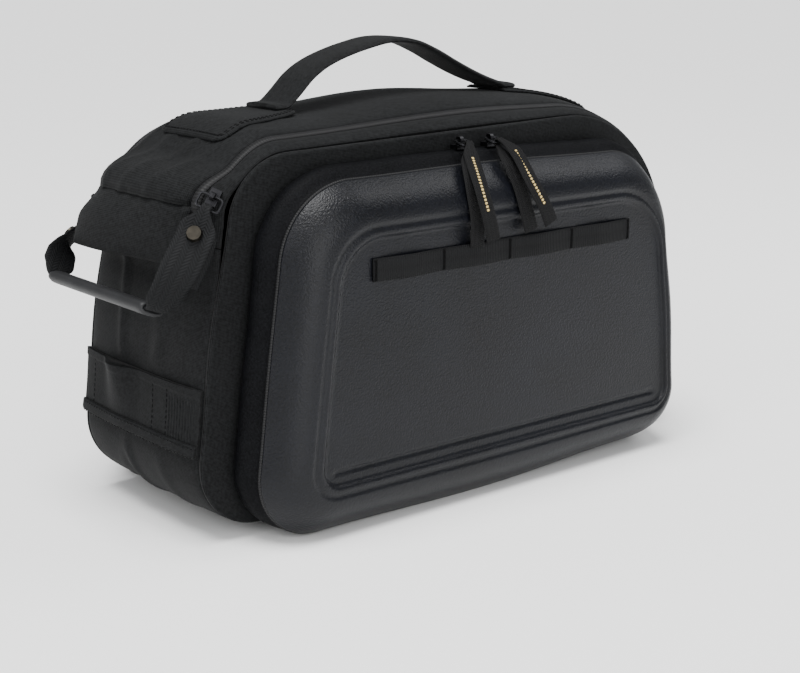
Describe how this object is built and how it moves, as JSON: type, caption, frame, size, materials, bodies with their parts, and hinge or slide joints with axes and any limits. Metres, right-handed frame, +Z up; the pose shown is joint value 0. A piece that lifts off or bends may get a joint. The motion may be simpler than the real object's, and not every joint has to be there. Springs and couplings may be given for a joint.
{
  "type": "bicycle trunk bag",
  "caption": "Soft zipped trunk bag for a bicycle rack, with a crowned lid, moulded shell side pockets, a top handle, a loop pull and light loops.",
  "frame": {"origin": "middle of the base panel's underside", "axes": "+X towards the front of the bicycle, along the bag; +Y to the far side; +Z up"},
  "size_m": [0.4355, 0.244, 0.2846],
  "materials": {
    "cloth": "matt woven nylon, black",
    "band_cloth": "smooth matt cloth, black",
    "webbing": "ribbed webbing, black",
    "zip": "coil zip, black",
    "shell": "moulded cloth-faced foam shell, dark grey, fine grain",
    "metal": "dark plated",
    "rubber": "matt grey"
  },
  "bodies": {
    "root": {"base_panel": "cloth", "front_end_panel": "cloth", "handle_patch_front": "cloth", "handle_patch_rear": "cloth", "lid_bail_far": "metal", "lid_bail_near": "metal", "lid_gusset_far": "cloth", "lid_gusset_near": "cloth", "lid_panel": "cloth", "lid_slider_far": "metal", "lid_slider_near": "metal", "lid_zip_far": "zip", "lid_zip_near": "zip", "light_band": "cloth", "light_band_hem": "webbing", "pocket_bail_far_1": "metal", "pocket_bail_far_2": "metal", "pocket_bail_near_1": "metal", "pocket_bail_near_2": "metal", "pocket_band_far": "band_cloth", "pocket_band_near": "band_cloth", "pocket_pull_far_1": "webbing", "pocket_pull_far_2": "webbing", "pocket_pull_near_1": "webbing", "pocket_pull_near_2": "webbing", "pocket_shell_far": "shell", "pocket_shell_near": "shell", "pocket_slider_far_1": "metal", "pocket_slider_far_2": "metal", "pocket_slider_near_1": "metal", "pocket_slider_near_2": "metal", "pocket_webbing_far": "webbing", "pocket_webbing_near": "webbing", "pocket_zip_far": "zip", "pocket_zip_near": "zip", "rear_end_panel": "cloth", "rear_flap": "cloth", "rear_loop_sleeve": "rubber", "rear_loop_webbing": "webbing", "side_panel_far": "cloth", "side_panel_near": "cloth", "snap_cap_far": "metal", "snap_cap_near": "metal", "top_handle": "cloth"}
  },
  "joints": []
}
